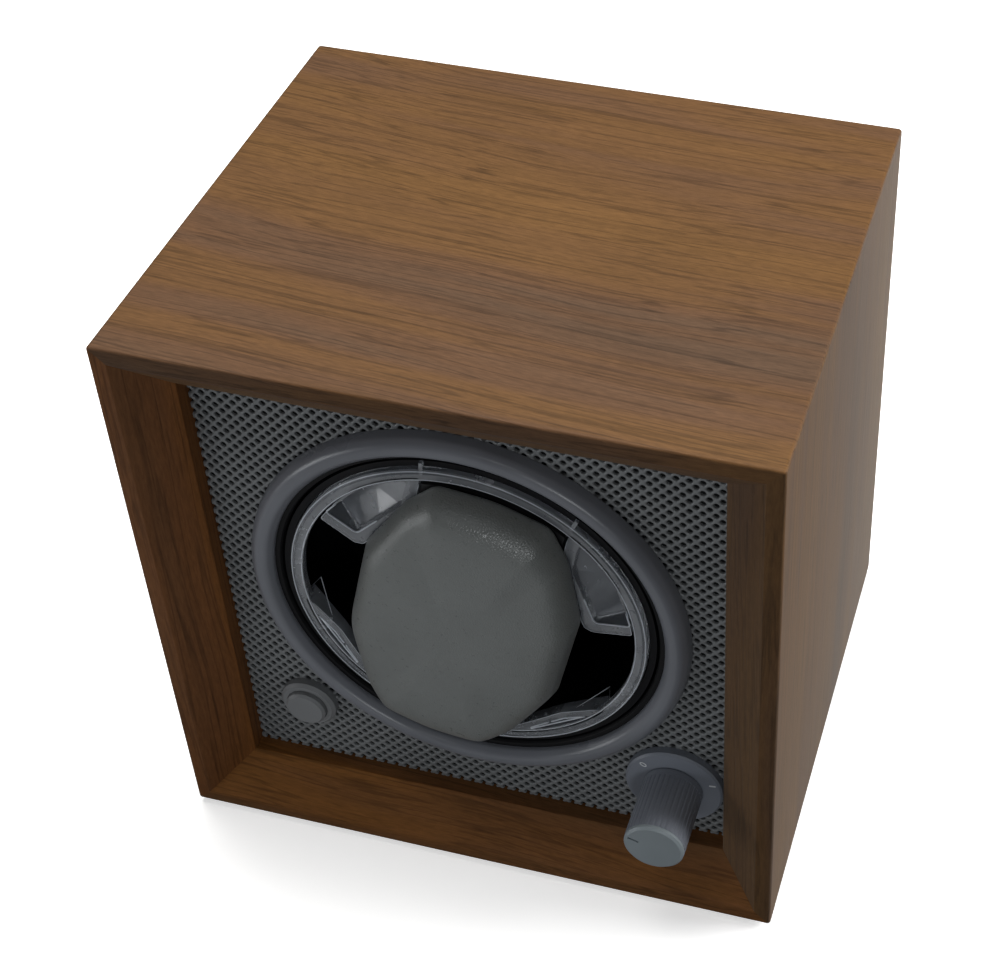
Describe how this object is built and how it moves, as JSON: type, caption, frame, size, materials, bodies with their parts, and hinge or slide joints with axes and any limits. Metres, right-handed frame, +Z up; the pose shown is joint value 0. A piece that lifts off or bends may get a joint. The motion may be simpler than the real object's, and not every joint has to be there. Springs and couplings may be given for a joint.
{
  "type": "watch winder box",
  "caption": "Open-fronted mitred walnut box with a perforated front panel, a turning drum with a clear holder and padded watch pillow, a push button and a speed knob.",
  "frame": {"origin": "the middle of the floor plan, on the surface that the feet stand on", "axes": "+Z up, the open front faces -Y, +X to the right seen from the front"},
  "size_m": [0.15, 0.132, 0.1515],
  "materials": {
    "walnut": "oiled walnut, satin",
    "back_board": "black, fine texture",
    "black_screw": "black zinc",
    "foot_rubber": "matt",
    "pine": "raw softwood",
    "panel_board": "black",
    "mesh_grey": "satin grey, embossed and perforated",
    "bezel_grey": "satin blue-grey",
    "control_grey": "satin blue-grey",
    "knob_face": "satin light grey",
    "cup_black": "black",
    "clear_plastic": "clear moulded plastic",
    "pillow_leather": "soft grey leather, fine grain",
    "core_black": "black",
    "steel": "ground",
    "zinc": "zinc plated",
    "brass": "turned",
    "black_nylon": "black moulded",
    "gear_acetal": "natural white moulded",
    "belt_rubber": "matt",
    "board_green": "solder mask",
    "component_black": "moulded",
    "lead_red": "insulation",
    "lead_white": "insulation",
    "lead_yellow": "insulation",
    "lead_black": "insulation"
  },
  "bodies": {
    "case": {"top_board": "walnut", "bottom_board": "walnut", "left_board": "walnut", "right_board": "walnut", "back_panel": "back_board", "back_screws": "black_screw", "feet": "foot_rubber", "corner_blocks": "pine", "front_panel": "panel_board", "mesh_sheet": "mesh_grey", "panel_cleats": "pine", "bezel_ring": "bezel_grey", "motor_plate": "black_nylon", "plate_screws": "zinc", "spindle_bush": "brass", "drive_belt": "belt_rubber", "gear_pin": "steel", "motor_can": "zinc", "motor_end_cap": "gear_acetal", "motor_screws": "zinc", "gearbox_cover": "gear_acetal", "cover_screws": "zinc", "dial_plate": "control_grey", "pot_body": "zinc", "pot_nut": "brass", "button_body": "control_grey", "button_spring": "steel", "button_nut": "black_nylon", "control_board": "board_green", "board_standoffs": "brass", "board_screws": "zinc", "control_chip": "component_black", "board_capacitors": "component_black", "dc_jack": "black_nylon", "jack_nut": "zinc", "jack_pin": "steel", "motor_leads": "lead_red", "button_leads": "lead_white", "pot_leads": "lead_yellow", "power_leads": "lead_black"},
    "drum": {"drum_cup": "cup_black", "clear_holder": "clear_plastic", "spindle": "steel", "driven_pulley": "black_nylon", "pulley_screws": "zinc", "spindle_clip": "zinc"},
    "pillow": {"pillow_pad": "pillow_leather", "pillow_core": "core_black"},
    "gearbox_output": {"drive_pulley": "black_nylon", "output_shaft": "steel", "output_gear": "gear_acetal"},
    "gearbox_compound": {"compound_gear": "gear_acetal"},
    "motor_rotor": {"motor_pinion": "brass", "motor_shaft": "steel"},
    "speed_knob": {"knob": "control_grey", "knob_cap": "knob_face", "pot_shaft": "steel"},
    "push_button": {"button_cap": "control_grey"}
  },
  "joints": [
    {"name": "drum_spin", "type": "hinge", "parent": "case", "child": "drum", "pos_m": [0, 0.012, 0.081], "axis": [0, 1, 0], "continuous": true},
    {"name": "pillow_pull", "type": "slide", "parent": "drum", "child": "pillow", "axis": [0, -1, 0], "range_m": [0, 0.06]},
    {"name": "output_spin", "type": "hinge", "parent": "case", "child": "gearbox_output", "pos_m": [-0.0305, 0.026, 0.04923], "axis": [0, 1, 0], "continuous": true},
    {"name": "compound_spin", "type": "hinge", "parent": "case", "child": "gearbox_compound", "pos_m": [-0.03693, 0.032, 0.04157], "axis": [0, 1, 0], "continuous": true},
    {"name": "rotor_spin", "type": "hinge", "parent": "case", "child": "motor_rotor", "pos_m": [-0.044, 0.022, 0.0345], "axis": [0, 1, 0], "continuous": true},
    {"name": "knob_turn", "type": "hinge", "parent": "case", "child": "speed_knob", "pos_m": [0.0484, -0.053, 0.0332], "axis": [0, 1, 0], "range_deg": [-76, 224]},
    {"name": "button_press", "type": "slide", "parent": "case", "child": "push_button", "axis": [0, 1, 0], "range_m": [0, 0.0015], "stiffness_N_per_m": 600, "springref_m": -0.002, "deforming": ["button_spring"]}
  ],
  "couplings": [
    {"joint": "output_spin", "follows": "drum_spin", "ratio": 4},
    {"joint": "compound_spin", "follows": "drum_spin", "ratio": -12},
    {"joint": "rotor_spin", "follows": "drum_spin", "ratio": 36}
  ]
}
